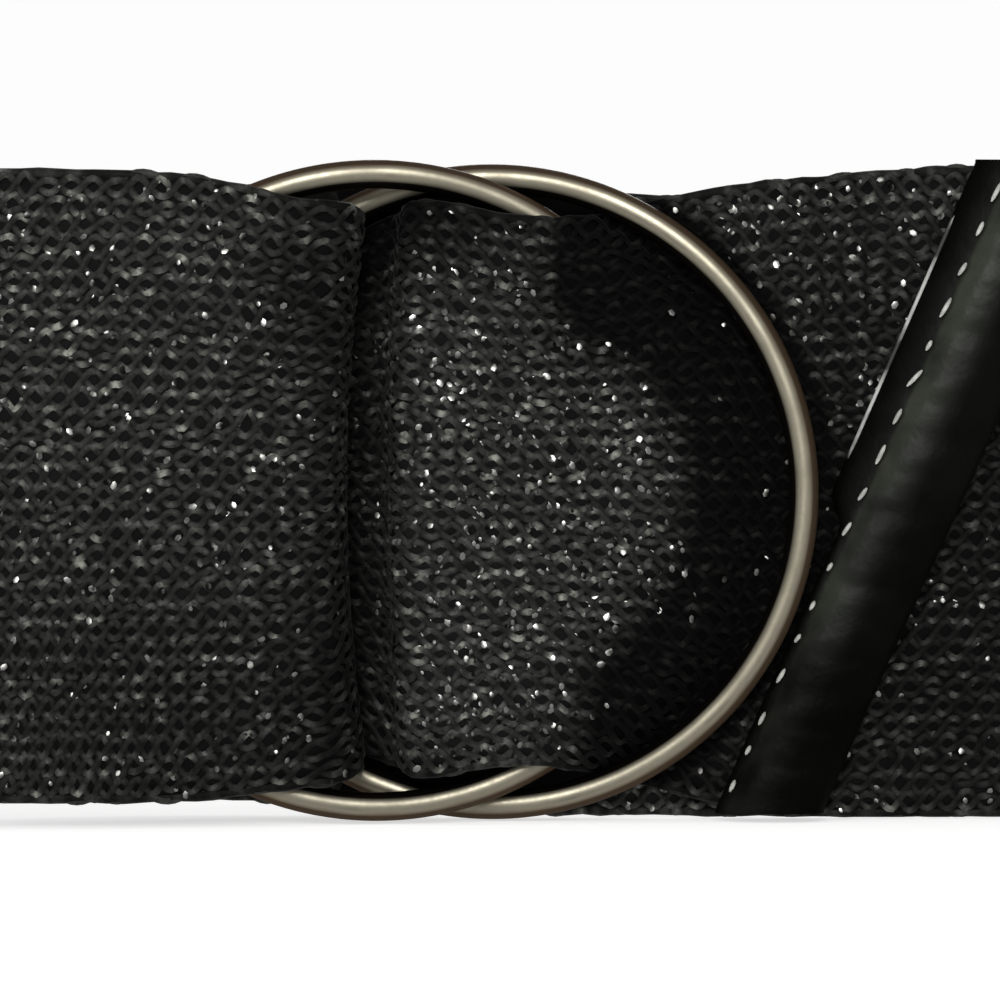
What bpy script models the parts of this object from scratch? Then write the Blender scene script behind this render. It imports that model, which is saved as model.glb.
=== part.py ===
"""A mesh belt fastened with two O-rings, standing on its lower edge as a closed waist loop.

The buckle is at the front, on the -Y side. One end of the strap is folded round both rings and sewn
back on the inside. The other end, the tongue, comes up through both rings, over the front ring and
under the back ring, and its slanted end is bound with faux leather.

Every layer of the strap is described by three values in millimetres: how far it lies along the
belt's plain line from the middle of the buckle, how far out from that line, and its height.
"""

import math

import bmesh
import bpy
import numpy as np

MM = 0.001

# The plain line that the middle of the strap follows, seen from above.
WAIST_HALF_WIDTH = 130.0
WAIST_HALF_DEPTH = 95.0
FRONT_HALF_FLAT = 36.0
SQUARENESS = 2.2
LINE_POINTS_PER_QUARTER = 600
# The buckle stands out in front, so the line lies this far back for the belt to be centred.
LINE_SHIFT_BACK = 4.575

STRAP_WIDTH = 52.0
STRAP_THICKNESS = 1.0
STRAP_ROWS = 15
TOUCHING_GAP = 0.3

RING_RADIUS = 26.3
RING_WIRE = 2.4
# Each ring stands on its lowest point. A lean is how far out it comes for each millimetre along.
FRONT_RING = {"along": -4.3, "height": 27.6, "out": 4.45, "lean": -0.10}
BACK_RING = {"along": 4.9, "height": 27.5, "out": 1.60, "lean": 0.088}
# From the middle of the wire to the middle of a layer of strap that lies on it.
WRAP = RING_WIRE / 2 + STRAP_THICKNESS / 2 + 0.4
# The shares of the way between the rings that the tongue stays level on the front and back ring.
HUG_FRONT = 0.2
HUG_BACK = 0.1

# The folded end's inner layer, from its sewn end to the fold.
RETURN_LAYER = (
    # along, out, lower edge, upper edge
    (-63.0, 1.6, 1.0, 52.4),
    (-54.0, 3.6, 1.5, 52.8),
    (-45.0, 3.7, 2.4, 52.8),
    (-37.0, 1.1, 2.6, 52.7),
    (-30.0, -1.7, 2.4, 52.6),
    (-24.0, -2.8, 2.0, 52.8),
    (-10.5, -3.1, 1.2, 53.7),
)

# The folded end's outer layer, from the fold to where it is the plain belt.
OUTER_LAYER = (
    # along, out, lower edge, upper edge
    (-84.0, 0.0, 0.0, 52.0),
    (-72.0, 1.2, 0.5, 52.5),
    (-62.0, 3.3, 1.1, 52.9),
    (-50.0, 6.3, 1.9, 53.4),
    (-38.0, 9.0, 2.3, 53.7),
    (-31.0, 9.1, 2.3, 53.6),
    (-18.0, 7.85, 2.5, 53.0),
    (-10.5, 7.1, 3.4, 51.3),
)

# The belt's other end as it comes from the right, behind both rings, to the tongue's fold.
UNDER_LAYER = (
    # along, out, lower edge, upper edge
    (-3.0, -1.5, 0.8, 53.3),
    (1.0, -1.2, 0.7, 52.9),
    (7.0, -1.0, 0.6, 52.8),
    (15.0, -0.9, 0.5, 52.3),
    (32.0, -0.8, 0.3, 52.2),
    (48.0, -0.5, 0.3, 52.2),
    (62.0, -0.1, 0.1, 52.1),
    (76.0, 0.0, 0.0, 52.0),
)

# Edges of the tongue, from its fold to its end.
TONGUE_EDGES = (
    # along, lower edge, upper edge
    (0.8, 4.2, 51.3),
    (4.0, 4.8, 50.6),
    (7.0, 5.1, 50.1),
    (10.0, 5.0, 50.0),
    (13.5, 4.3, 50.4),
    (18.0, 3.1, 51.5),
    (26.0, 1.4, 53.0),
    (36.0, 0.9, 54.0),
    (58.0, 0.9, 55.0),
)

# The two folds, from the inner layer to the outer one. The corners are where the edges turn.
STRAP_FOLD = (
    # step, along, out, lower edge, upper edge, corners' shift along
    (0, -10.5, -3.1, 1.2, 53.7, 0.0),
    (1, -9.6, -3.2, 1.4, 53.6, 1.2),
    (2, -9.2, -1.7, 5.4, 49.4, 0.2),
    (3, -8.3, 0.3, 7.0, 48.1, 0.6),
    (4, -7.5, 3.0, 5.0, 50.2, 1.6),
    (5, -7.9, 5.3, 4.2, 50.9, 1.5),
    (6, -8.9, 6.7, 3.6, 51.2, 0.8),
    (7, -10.5, 7.1, 3.4, 51.3, 0.0),
)
# The tongue's fold is pinched at its root, which closes the slot between the two folds.
TONGUE_FOLD = (
    # step, along, out, lower edge, upper edge, corners' shift along
    (0, -3.0, -1.5, 0.8, 53.3, 0.0),
    (1, -6.6, -1.9, 1.0, 53.4, -0.7),
    (2, -7.2, -1.4, 4.4, 50.2, 0.0),
    (3, -6.9, -0.3, 6.0, 48.9, 0.4),
    (4, -5.6, 0.6, 5.4, 49.6, 0.6),
    (5, -3.9, 1.4, 4.9, 50.3, 0.5),
    (6, -3.0, 3.0, 4.6, 50.7, 0.8),
    (7, -2.8, 4.7, 4.4, 51.0, 0.8),
    (8, -1.6, 5.75, 4.2, 51.2, 0.4),
    (9, 0.8, 6.0, 4.2, 51.3, 0.0),
)

# Broad dents that the gathers leave, deepest at the stated place.
DENTS = (
    # layer, along, height, reach along, reach up, depth
    ("outer", -13.0, 42.0, 4.5, 6.0, 0.9),
    ("outer", -19.0, 17.0, 5.0, 5.0, 0.5),
    ("tongue", 11.0, 41.0, 1.3, 8.0, 0.6),
)
GATHERS = 4
GATHER_HEIGHT = 0.45
GATHER_REACH = 16.0

# The binding: a strip folded round the tongue's slanted end, seen from the front.
STITCH_LINE = (
    # height, along
    (0.9, 24.2),
    (15.0, 30.4),
    (29.7, 37.0),
    (55.0, 47.9),
)
BINDING_SLANT = math.radians(24.0)
BINDING_OVERHANG = 0.25
# Middle of the tongue above the middle of the layer under it, where the binding's back lies between.
TONGUE_LIFT = 2.45
TONGUE_END = 6.5
BINDING_SECTION = (
    # across from the stitches, out from the tongue's middle
    (0.0, 0.8),
    (TONGUE_END + TOUCHING_GAP, 0.8),
    (TONGUE_END + TOUCHING_GAP, -0.8),
    (0.4, -0.8),
    (0.4, -1.45),
    (3.6, -1.5),
    (7.2, -1.45),
    (7.85, -0.9),
    (8.0, 0.0),
    (7.8, 1.0),
    (7.1, 1.8),
    (5.6, 2.3),
    (3.6, 2.5),
    (1.8, 2.25),
    (0.8, 1.7),
    (0.25, 1.25),
)
FLANGE_WIDTH = 2.0
FLANGE_LEAST = 0.35
FLANGE_THICKNESS = 0.45
FLANGE_HEIGHT = 28.0
BINDING_STATIONS = 19
WRINKLE_DEPTH = 0.12

# How many steps each stretch of the strap is modelled in.
RETURN_STEPS = 13
FOLD_STEPS_PER_ROW = 1.5
OUTER_STEPS = 17
PLAIN_STEPS = 42
UNDER_STEPS = 13
TONGUE_STEPS_TO_FRONT_RING = 10
TONGUE_STEPS_BETWEEN_RINGS = 9
TONGUE_STEPS_TO_END = 14


def ease(share):
    """A smooth rise from 0 to 1 as the share goes from 0 to 1."""
    share = np.clip(share, 0.0, 1.0)
    return share * share * (3.0 - 2.0 * share)


def smooth(table, place):
    """A table's other columns at a place in its first column, on a smooth curve through its rows."""
    rows = np.array(sorted(table))
    keys = rows[:, 0]
    values = rows[:, 1:]
    slopes = np.gradient(values, keys, axis=0)
    index = int(np.clip(np.searchsorted(keys, place) - 1, 0, len(keys) - 2))
    step = keys[index + 1] - keys[index]
    share = min(max((place - keys[index]) / step, 0.0), 1.0)
    start, end = values[index], values[index + 1]
    rise = ease(share)
    leave = share * (1.0 - share) ** 2 * step
    arrive = -(share**2) * (1.0 - share) * step
    return start + (end - start) * rise + slopes[index] * leave + slopes[index + 1] * arrive


def quarter(half_width, half_depth, start):
    """A quarter of a superellipse from the angle start, anticlockwise, as a list of points."""
    angles = start + np.linspace(0.0, math.pi / 2, LINE_POINTS_PER_QUARTER)
    across, away = np.cos(angles), np.sin(angles)
    power = 2.0 / SQUARENESS
    return np.stack(
        (
            half_width * np.sign(across) * np.abs(across) ** power,
            half_depth * np.sign(away) * np.abs(away) ** power,
        ),
        axis=1,
    )


def plain_line():
    """Points of the plain line and their distances along it from the middle of the front."""
    side = WAIST_HALF_WIDTH - FRONT_HALF_FLAT
    right = quarter(side, WAIST_HALF_DEPTH, -math.pi / 2) + (FRONT_HALF_FLAT, 0.0)
    back = np.concatenate(
        (
            quarter(WAIST_HALF_WIDTH, WAIST_HALF_DEPTH, 0.0)[1:],
            quarter(WAIST_HALF_WIDTH, WAIST_HALF_DEPTH, math.pi / 2)[1:],
        )
    )
    left = quarter(side, WAIST_HALF_DEPTH, math.pi)[1:] - (FRONT_HALF_FLAT, 0.0)
    middle = np.array(((0.0, -WAIST_HALF_DEPTH),))
    points = np.concatenate((middle, right, back, left, middle))
    steps = np.hypot(*np.diff(points, axis=0).T)
    return points, np.concatenate(((0.0,), np.cumsum(steps)))


LINE, LINE_DISTANCE = plain_line()
LOOP_LENGTH = LINE_DISTANCE[-1]


def on_line(along):
    """The plain line's point this far along."""
    along = along % LOOP_LENGTH
    return np.array([np.interp(along, LINE_DISTANCE, LINE[:, axis]) for axis in (0, 1)])


def place(along, out, height):
    """World position in metres of a point of the strap."""
    ahead = on_line(along + 0.5) - on_line(along - 0.5)
    outward = np.array((ahead[1], -ahead[0])) / np.hypot(*ahead)
    flat = on_line(along) + outward * out
    return (flat[0] * MM, (flat[1] + LINE_SHIFT_BACK) * MM, height * MM)


def ring_out(ring, along):
    """How far out the middle of a ring's plane is."""
    return ring["out"] + ring["lean"] * (along - ring["along"])


def ring_reach(ring):
    """A leaning ring's half-width as seen from the front."""
    return RING_RADIUS * math.cos(math.atan(ring["lean"]))


def right_side(ring, height):
    """Where along the belt the ring's right side is at a height."""
    share = (height - ring["height"]) / RING_RADIUS
    return ring["along"] + ring_reach(ring) * math.sqrt(1.0 - share * share)


def beyond(ring, along, height):
    """How far outside a ring a point is, seen from the front. Inside it is negative."""
    squeeze = RING_RADIUS / ring_reach(ring)
    return math.hypot((along - ring["along"]) * squeeze, height - ring["height"]) - RING_RADIUS


def dent(layer, along, height):
    """How far the dents press a layer in."""
    depth = 0.0
    for name, mid_along, mid_height, reach_along, reach_up, deepest in DENTS:
        if name == layer:
            far = ((along - mid_along) / reach_along) ** 2 + ((height - mid_height) / reach_up) ** 2
            depth += deepest * math.exp(-far)
    return depth


def gather(share, from_fold):
    """How far the gathers lift a layer, by the share of its width and the distance from its fold."""
    wave = 0.5 - 0.5 * math.cos(2.0 * math.pi * GATHERS * share)
    return GATHER_HEIGHT * wave * (1.0 - ease(from_fold / GATHER_REACH))


def layer_point(table, along, share):
    """A point of a layer without gathers."""
    out, low, high = smooth(table, along)
    return along, out, low + (high - low) * share


def plain_point(along, share):
    """A point of the plain belt round the sides and the back."""
    return along, 0.0, STRAP_WIDTH * share


def return_point(along, share):
    """A point of the folded end's inner layer."""
    return layer_point(RETURN_LAYER, along, share)


def under_point(along, share):
    """A point of the layer that lies under the tongue."""
    return layer_point(UNDER_LAYER, along, share)


def outer_point(along, share):
    """A point of the folded end's outer layer."""
    along, out, height = layer_point(OUTER_LAYER, along, share)
    out += gather(share, OUTER_LAYER[-1][0] - along) - dent("outer", along, height)
    return along, out, height


def tongue_out(along, height):
    """How far out the tongue lies: on the front ring, then down between the rings, then on the belt."""
    on_front = ring_out(FRONT_RING, along) + WRAP
    under_back = ring_out(BACK_RING, along) - WRAP
    past_front = beyond(FRONT_RING, along, height)
    past_back = beyond(BACK_RING, along, height)
    if past_back < 0.0:
        between = max(past_front, 0.0)
        share = between / (between - past_back)
        out = on_front + (under_back - on_front) * ease((share - HUG_FRONT) / (1.0 - HUG_FRONT - HUG_BACK))
    else:
        resting = smooth(UNDER_LAYER, along)[0] + TONGUE_LIFT
        out = under_back + (resting - under_back) * ease(past_back / 5.0)
    return out - dent("tongue", along, height)


def tongue_point(along, share):
    """A point of the tongue's upper layer."""
    low, high = smooth(TONGUE_EDGES, along)
    height = low + (high - low) * share
    lift = gather(share, along - TONGUE_EDGES[0][0]) * ease(-beyond(FRONT_RING, along, height) / 3.0)
    return along, tongue_out(along, height) + lift, height


def strap_fold_end(share):
    """Where the folded end's fold meets its outer layer."""
    return outer_point(OUTER_LAYER[-1][0], share)


def tongue_fold_end(share):
    """Where the tongue's fold meets its upper layer."""
    return tongue_point(TONGUE_EDGES[0][0], share)


def tongue_stops(share):
    """Where a row of the tongue meets the front ring, the back ring and its own end."""
    stops = []
    for ring in (FRONT_RING, BACK_RING):
        along = ring["along"] + 0.7 * RING_RADIUS
        for _ in range(12):
            along = right_side(ring, tongue_point(along, share)[2])
        stops.append(along)
    along = 45.0
    for _ in range(12):
        height = tongue_point(along, share)[2]
        along = smooth(STITCH_LINE, height)[0] + TONGUE_END / math.cos(BINDING_SLANT)
    stops.append(along)
    return stops


def fold_sections(fold, outer_point_at_end, shares):
    """Sections of a fold without its last one, which is the outer layer's first."""
    steps = fold[-1][0]
    sections = []
    for step in np.linspace(0.0, steps, round(steps * FOLD_STEPS_PER_ROW), endpoint=False):
        along, out, low, high, corner = smooth(fold, step)
        section = []
        for share in shares:
            height = low + (high - low) * share
            shift = corner * (2.0 * share - 1.0) ** 2
            lift = (outer_point_at_end(share)[1] - fold[-1][2]) * ease(step / steps)
            section.append((along + shift, out + lift, height))
        sections.append(section)
    return sections


def layer_sections(point, start, end, steps, shares):
    """Sections of a layer at even places from start up to, but not at, its end."""
    places = np.linspace(start, end, steps, endpoint=False)
    return [[point(along, share) for share in shares] for along in places]


def tongue_sections(shares):
    """Sections of the tongue, which follow the two rings' sides and then its slanted end."""
    first = TONGUE_EDGES[0][0]
    stops = [(first, *tongue_stops(share)) for share in shares]
    stretches = (TONGUE_STEPS_TO_FRONT_RING, TONGUE_STEPS_BETWEEN_RINGS, TONGUE_STEPS_TO_END)
    sections = []
    for stretch, steps in enumerate(stretches):
        last = stretch == len(stretches) - 1
        for part in np.linspace(0.0, 1.0, steps, endpoint=last):
            section = []
            for stop, share in zip(stops, shares):
                along = stop[stretch] + (stop[stretch + 1] - stop[stretch]) * part
                section.append(tongue_point(along, share))
            sections.append(section)
    return sections


def strap_sections():
    """The strap's cross-sections from its sewn end to the tongue's end, each a row of points."""
    shares = np.linspace(0.0, 1.0, STRAP_ROWS)
    sewn, fold_start = RETURN_LAYER[0][0], RETURN_LAYER[-1][0]
    left, right = OUTER_LAYER[0][0], UNDER_LAYER[-1][0]
    return [
        *layer_sections(return_point, sewn, fold_start, RETURN_STEPS, shares),
        *fold_sections(STRAP_FOLD, strap_fold_end, shares),
        *layer_sections(outer_point, fold_start, left, OUTER_STEPS, shares),
        *layer_sections(plain_point, left, right - LOOP_LENGTH, PLAIN_STEPS, shares),
        *layer_sections(under_point, right, UNDER_LAYER[0][0], UNDER_STEPS, shares),
        *fold_sections(TONGUE_FOLD, tongue_fold_end, shares),
        *tongue_sections(shares),
    ]


def material(name, colour, roughness, metallic):
    """A plain material with the piece's colour and shine."""
    made = bpy.data.materials.new(name)
    made.use_nodes = True
    shader = made.node_tree.nodes["Principled BSDF"]
    shader.inputs["Base Color"].default_value = (*colour, 1.0)
    shader.inputs["Roughness"].default_value = roughness
    shader.inputs["Metallic"].default_value = metallic
    return made


def add_object(name, mesh, finish):
    """Put a mesh into the scene as a named, smooth piece."""
    piece = bpy.data.objects.new(name, mesh)
    bpy.context.scene.collection.objects.link(piece)
    mesh.materials.append(finish)
    for face in mesh.polygons:
        face.use_smooth = True
    return piece


def loft(name, sections, closed):
    """A mesh of quads through sections with equal counts of points, capped where they are closed."""
    shape = bmesh.new()
    rows = [[shape.verts.new(place(*point)) for point in section] for section in sections]
    count = len(rows[0])
    for first, second in zip(rows, rows[1:]):
        for index in range(count if closed else count - 1):
            follow = (index + 1) % count
            shape.faces.new((first[index], first[follow], second[follow], second[index]))
    if closed:
        shape.faces.new(rows[0][::-1])
        shape.faces.new(rows[-1])
        bmesh.ops.recalc_face_normals(shape, faces=shape.faces)
    mesh = bpy.data.meshes.new(name)
    shape.to_mesh(mesh)
    shape.free()
    return mesh


def build_strap():
    """The band of net: its middle surface, thickened."""
    net = material("knitted_net", (0.022, 0.022, 0.023), 0.7, 0.0)
    strap = add_object("strap", loft("strap", strap_sections(), closed=False), net)
    thicken = strap.modifiers.new("Wall", "SOLIDIFY")
    thicken.thickness = STRAP_THICKNESS * MM
    thicken.offset = 0.0
    thicken.use_even_offset = True
    thicken.use_quality_normals = True


def build_ring(name, ring, finish):
    """One round wire ring, upright, leaning as the strap holds it."""
    bpy.ops.mesh.primitive_torus_add(
        major_segments=52,
        minor_segments=8,
        major_radius=RING_RADIUS * MM,
        minor_radius=RING_WIRE / 2 * MM,
        location=(
            ring["along"] * MM,
            (LINE_SHIFT_BACK - WAIST_HALF_DEPTH - ring["out"]) * MM,
            ring["height"] * MM,
        ),
        rotation=(math.pi / 2, 0.0, math.atan(-ring["lean"])),
    )
    made = bpy.context.object
    made.name = name
    made.data.name = name
    made.data.materials.append(finish)
    bpy.ops.object.transform_apply(location=False, rotation=False, scale=True)
    for face in made.data.polygons:
        face.use_smooth = True


def binding_section(height):
    """One level section of the binding, from its flange round the tongue's end and back."""
    stitches = smooth(STITCH_LINE, height)[0]
    flange = FLANGE_LEAST + (FLANGE_WIDTH - FLANGE_LEAST) * ease((height - FLANGE_HEIGHT + 4.0) / 4.0)
    wrinkle = WRINKLE_DEPTH * (math.sin(height * 0.9) + 0.6 * math.sin(height * 2.1 + 1.0))
    outline = [(-flange, 0.8), *BINDING_SECTION, (-flange, 0.8 + FLANGE_THICKNESS)]
    points = []
    for across, out in outline:
        along = stitches + across / math.cos(BINDING_SLANT)
        middle = tongue_out(along, height)
        if out > 1.5:
            out += wrinkle
        points.append((along, middle + out, height))
    return points


def build_binding():
    """The faux leather strip round the tongue's slanted end."""
    leather = material("faux_leather", (0.010, 0.010, 0.009), 0.5, 0.0)
    low = TONGUE_EDGES[-1][1] - BINDING_OVERHANG
    high = TONGUE_EDGES[-1][2] + BINDING_OVERHANG
    sections = [binding_section(height) for height in np.linspace(low, high, BINDING_STATIONS)]
    add_object("tip_binding", loft("tip_binding", sections, closed=True), leather)


for leftover in list(bpy.data.objects):
    bpy.data.objects.remove(leftover, do_unlink=True)

nickel = material("antique_nickel", (0.125, 0.115, 0.095), 0.28, 1.0)
build_strap()
build_ring("front_ring", FRONT_RING, nickel)
build_ring("back_ring", BACK_RING, nickel)
build_binding()
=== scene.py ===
"""A mesh belt fastened with two O-rings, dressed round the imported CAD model.

The belt stands on its lower edge as a closed waist loop, with the buckle at the front, on the -Y side.
Places on the strap are given as in the CAD source, in millimetres: along the belt's plain line from the
middle of the buckle, out from that line, and height. A share is a place across the strap's width, from
0 at its lower edge to 1 at its upper one.
"""

import math

import bpy
import numpy as np
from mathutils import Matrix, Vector


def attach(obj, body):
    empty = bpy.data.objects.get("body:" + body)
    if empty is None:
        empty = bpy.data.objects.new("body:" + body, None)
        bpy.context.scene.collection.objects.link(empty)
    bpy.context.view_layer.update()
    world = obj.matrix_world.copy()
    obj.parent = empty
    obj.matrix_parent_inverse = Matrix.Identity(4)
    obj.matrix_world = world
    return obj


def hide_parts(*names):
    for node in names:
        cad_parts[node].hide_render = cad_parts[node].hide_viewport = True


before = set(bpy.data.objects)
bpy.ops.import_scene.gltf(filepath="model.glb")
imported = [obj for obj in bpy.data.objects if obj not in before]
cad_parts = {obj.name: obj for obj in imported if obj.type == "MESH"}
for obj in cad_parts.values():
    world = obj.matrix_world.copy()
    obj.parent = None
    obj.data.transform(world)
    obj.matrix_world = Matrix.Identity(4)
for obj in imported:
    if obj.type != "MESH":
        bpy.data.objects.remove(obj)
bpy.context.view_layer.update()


# The two O-rings of the buckle. Each is steel wire bent round, butt-welded and plated in antique nickel.
# They are loose: only the strap, which is folded round them, holds them.
MM = 0.001
RING_RADIUS = 26.3
RING_WIRE = 2.4
# A lean is how far out the ring comes for each millimetre along.
FRONT_RING = {"along": -4.3, "height": 27.6, "out": 4.45, "lean": -0.10}
BACK_RING = {"along": 4.9, "height": 27.5, "out": 1.60, "lean": 0.088}
WAIST_HALF_DEPTH = 95.0
# The buckle stands out in front, so the plain line lies this far back for the belt to be centred.
LINE_SHIFT_BACK = 4.575
STEPS_ROUND_RING = 288
STEPS_ROUND_WIRE = 28
# Angles round the wire, from the outside of the ring by way of its front.
ROUND_WIRE = np.linspace(0.0, 2.0 * math.pi, STEPS_ROUND_WIRE, endpoint=False)[None, :]
OUT_OF_ROUND = 0.04
WELD_LENGTH = 1.6
WELD_SWELL = 0.035
PLATING_BROWN_LIT = "#4c3e30"
PLATING_BLACK_SHADED = "#0d0b09"
PLATING_RUBBED_HIGHLIGHT = "#e6dec5"
PLATING_EDGE = "#8a7a64"
# How far round the wire the pale band reaches to either side of its front: partly rubbed, partly a painted
# highlight.
RUBBED_HIGHLIGHT_REACH = math.radians(33.0)


def linear(colour):
    """An sRGB hex colour as linear red, green, blue and alpha."""
    parts = [int(colour[start : start + 2], 16) / 255.0 for start in (1, 3, 5)]
    return (*[part / 12.92 if part <= 0.04045 else ((part + 0.055) / 1.055) ** 2.4 for part in parts], 1.0)


def new_material(name, **settings):
    """A material whose Principled shader has these constants."""
    made = bpy.data.materials.new(name)
    made.use_nodes = True
    shader = made.node_tree.nodes["Principled BSDF"]
    for setting, value in settings.items():
        shader.inputs[setting.replace("_", " ")].default_value = value
    return made


def link_shader(made, **sockets):
    """Link the sockets of nodes to the inputs of a material's Principled shader."""
    shader = made.node_tree.nodes["Principled BSDF"]
    for setting, socket in sockets.items():
        made.node_tree.links.new(socket, shader.inputs[setting.replace("_", " ")])


def add_node(made, kind, inputs, **settings):
    """Add a node to a material, with its settings, and set or link its inputs."""
    node = made.node_tree.nodes.new(kind)
    for setting, value in settings.items():
        setattr(node, setting, value)
    for place, value in inputs.items():
        if isinstance(value, bpy.types.NodeSocket):
            made.node_tree.links.new(value, node.inputs[place])
        else:
            node.inputs[place].default_value = value
    return node


def add_noise(made, scale, detail, **inputs):
    """Noise that stays with the piece, with its scale in grains to a metre."""
    place = add_node(made, "ShaderNodeTexCoord", {}).outputs["Object"]
    inputs = {"Vector": place, "Scale": scale, "Detail": detail, **inputs}
    return add_node(made, "ShaderNodeTexNoise", inputs).outputs["Fac"]


def add_share(made, name):
    """A share that is kept on the mesh's points."""
    return add_node(made, "ShaderNodeAttribute", {}, attribute_name=name).outputs["Fac"]


def add_range(made, value, low, high, to_low=0.0, to_high=1.0, **settings):
    """Turn values between low and high into values between to_low and to_high."""
    inputs = {"Value": value, "From Min": low, "From Max": high, "To Min": to_low, "To Max": to_high}
    return add_node(made, "ShaderNodeMapRange", inputs, **settings).outputs["Result"]


def add_product(made, first, second):
    """The product of two shares, 1 at most."""
    factors = {0: first, 1: second}
    return add_node(made, "ShaderNodeMath", factors, operation="MULTIPLY", use_clamp=True).outputs[0]


def add_mix(made, share, first, second):
    """Mix two colours by a share. Each is a hex colour or the socket of a node."""
    first, second = [linear(end) if isinstance(end, str) else end for end in (first, second)]
    return add_node(made, "ShaderNodeMix", {0: share, 6: first, 7: second}, data_type="RGBA").outputs[2]


def add_bump(made, strength, distance, height, **inputs):
    """Relief that is this many metres high."""
    inputs = {"Strength": strength, "Distance": distance, "Height": height, **inputs}
    return add_node(made, "ShaderNodeBump", inputs).outputs["Normal"]


def add_piece(name, points, faces, material, slot, **shades):
    """Put a smooth mesh into the scene, from points in millimetres, none of them below the floor."""
    points = np.maximum(points.reshape(-1, 3), (-np.inf, -np.inf, 0.0))
    faces = faces.reshape(-1, faces.shape[-1])
    mesh = bpy.data.meshes.new(name)
    mesh.vertices.add(len(points))
    mesh.vertices.foreach_set("co", (points * MM).ravel())
    mesh.loops.add(faces.size)
    mesh.loops.foreach_set("vertex_index", faces.ravel())
    mesh.polygons.add(len(faces))
    mesh.polygons.foreach_set("loop_start", np.arange(0, faces.size, faces.shape[1]))
    mesh.polygons.foreach_set("use_smooth", np.ones(len(faces), dtype=bool))
    mesh.update(calc_edges=True)
    for shade, values in shades.items():
        mesh.attributes.new(shade, "FLOAT", "POINT").data.foreach_set("value", values.ravel())
    mesh.materials.append(material)
    piece = bpy.data.objects.new(name, mesh)
    bpy.context.scene.collection.objects.link(piece)
    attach(piece, "root")
    return piece


def quads(rows, columns, rows_close=False, columns_close=False):
    """The faces of a grid of points, which may close on itself either way."""
    row = np.arange(rows if rows_close else rows - 1)[:, None]
    column = np.arange(columns if columns_close else columns - 1)[None, :]
    row, next_row = row * columns, (row + 1) % rows * columns
    next_column = (column + 1) % columns
    corners = (row + column, row + next_column, next_row + next_column, next_row + column)
    return np.stack(corners, axis=-1).reshape(-1, 4)


def ease(share):
    """A smooth rise from 0 to 1 as the share goes from 0 to 1."""
    share = np.clip(share, 0.0, 1.0)
    return share * share * (3.0 - 2.0 * share)


def ring_rubbing_and_highlight():
    """How much of the stain is rubbed off round the wire, most in front and some at the back, the front band
    partly a painted highlight.
    """
    rubbed_and_highlight = np.zeros((STEPS_ROUND_RING, STEPS_ROUND_WIRE))
    for middle, much in ((math.pi / 2.0, 1.0), (-math.pi / 2.0, 0.5)):
        from_middle = np.mod(ROUND_WIRE - middle + math.pi, 2.0 * math.pi) - math.pi
        rubbed_and_highlight = rubbed_and_highlight + much * ease(2.0 - 2.0 * np.abs(from_middle) / RUBBED_HIGHLIGHT_REACH)
    return rubbed_and_highlight


def ring_points(ring, weld_angle):
    """Points of one ring. Hand bending leaves it a hair out of round, and the weld a small collar."""
    turn = np.linspace(0.0, 2.0 * math.pi, STEPS_ROUND_RING, endpoint=False)[:, None]
    from_weld = (np.mod(turn - weld_angle + math.pi, 2.0 * math.pi) - math.pi) * RING_RADIUS
    wire = RING_WIRE / 2.0 * (1.0 + WELD_SWELL * np.exp(-((from_weld / (WELD_LENGTH / 2.0)) ** 2)))
    reach = RING_RADIUS + OUT_OF_ROUND * np.cos(2.0 * turn + 0.6) + wire * np.cos(ROUND_WIRE)
    across = reach * np.cos(turn)
    forward = wire * np.sin(ROUND_WIRE)
    lean = math.atan(ring["lean"])
    along = ring["along"] + across * math.cos(lean) - forward * math.sin(lean)
    front = WAIST_HALF_DEPTH + ring["out"] + across * math.sin(lean) + forward * math.cos(lean)
    return np.stack((along, LINE_SHIFT_BACK - front, ring["height"] + reach * np.sin(turn)), axis=-1)


# Antique nickel on steel wire, electroplated, stained dark and then rubbed back with a soft wheel: the
# stain is a thin dull oxide, and bare pale metal shows on the front of the wire, in a band that is partly
# that rubbing and partly a painted highlight.
nickel = new_material("antique_nickel_rubbed_back", IOR=1.5, Specular_Tint=linear(PLATING_EDGE))
stain = add_noise(nickel, 260.0, 4.0)
specks = add_noise(nickel, 2400.0, 3.0)
# The pale band is partly rubbed metal and partly a painted highlight.
rubbed_and_highlight = add_product(nickel, add_share(nickel, "rubbed_and_highlight"), add_range(nickel, stain, 0.3, 0.7, 0.6, 1.1))
# Brown outside and black inside: oxide, with painted light and painted shade in it.
oxide_and_painted_light = add_mix(nickel, add_share(nickel, "outside"), PLATING_BLACK_SHADED, PLATING_BROWN_LIT)
link_shader(
    nickel,
    Base_Color=add_mix(nickel, rubbed_and_highlight, oxide_and_painted_light, PLATING_RUBBED_HIGHLIGHT),
    Metallic=add_range(nickel, rubbed_and_highlight, 0.0, 1.0, 0.35, 1.0),
    Roughness=add_range(nickel, specks, 0.3, 0.75, 0.34, 0.44),
    # Rubbing marks are a few hundredths of a millimetre wide, and are drawn at 0.4 mm so that they show.
    Normal=add_bump(nickel, 0.12, 0.00004, specks),
)

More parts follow.
